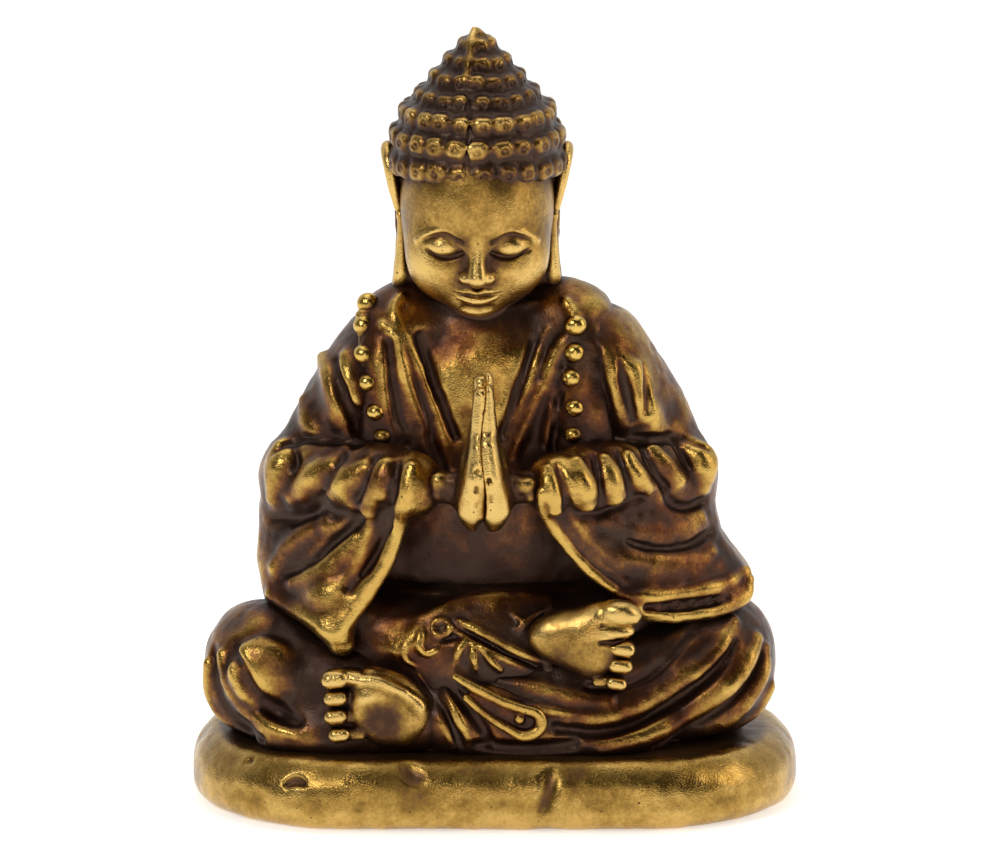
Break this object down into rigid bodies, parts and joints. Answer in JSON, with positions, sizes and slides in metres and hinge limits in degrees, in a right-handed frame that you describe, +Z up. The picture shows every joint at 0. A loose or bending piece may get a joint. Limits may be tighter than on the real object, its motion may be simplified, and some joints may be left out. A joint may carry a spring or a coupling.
{
  "type": "seated figure statue",
  "caption": "Seated robed figure with joined palms and snail-curl hair on a rounded plinth, cast hollow in brass, to stand on a shelf.",
  "frame": {"origin": "middle of the plinth's footprint, on the plane that it stands on", "axes": "+Z up, the figure faces -Y, +X to the viewer's right when facing the figure"},
  "size_m": [0.077, 0.046, 0.1008],
  "materials": {
    "plinth_brass": "cast brass, buffed bright on its sides, dark in pits and notches",
    "robe_brass": "cast brass with dark brown patina, rubbed bright along the folds",
    "skin_brass": "cast brass, hand-polished, patina left in the creases",
    "hair_brass": "cast brass with dark patina, curls rubbed bright on top",
    "bead_brass": "cast brass, rubbed bright"
  },
  "bodies": {
    "root": {"base_plinth": "plinth_brass", "cap_curls_row_1": "hair_brass", "cap_curls_row_2": "hair_brass", "cap_curls_row_3": "hair_brass", "eyelids": "skin_brass", "hair_cap": "hair_brass", "head": "skin_brass", "lap_robe": "robe_brass", "left_bead_string": "bead_brass", "left_collar_band": "robe_brass", "left_cuff_hem": "robe_brass", "left_ear": "skin_brass", "left_fingers": "skin_brass", "left_foot": "skin_brass", "left_forearm_sleeve": "robe_brass", "left_hand": "skin_brass", "left_leg_robe": "robe_brass", "left_robe_front": "robe_brass", "left_sleeve_drape": "robe_brass", "left_thumb": "skin_brass", "left_toes": "skin_brass", "left_upper_sleeve": "robe_brass", "left_wrist": "skin_brass", "lips": "skin_brass", "nape_curls_row_1": "hair_brass", "nape_curls_row_2": "hair_brass", "nape_curls_row_3": "hair_brass", "neck": "skin_brass", "nose": "skin_brass", "right_bead_string": "bead_brass", "right_collar_band": "robe_brass", "right_cuff_hem": "robe_brass", "right_ear": "skin_brass", "right_fingers": "skin_brass", "right_foot": "skin_brass", "right_forearm_sleeve": "robe_brass", "right_hand": "skin_brass", "right_leg_robe": "robe_brass", "right_robe_front": "robe_brass", "right_sleeve_drape": "robe_brass", "right_thumb": "skin_brass", "right_toes": "skin_brass", "right_upper_sleeve": "robe_brass", "right_wrist": "skin_brass", "sash_end": "bead_brass", "topknot": "hair_brass", "topknot_curls_row_1": "hair_brass", "topknot_curls_row_2": "hair_brass", "topknot_curls_row_3": "hair_brass", "topknot_tip": "hair_brass", "torso": "robe_brass"}
  },
  "joints": []
}
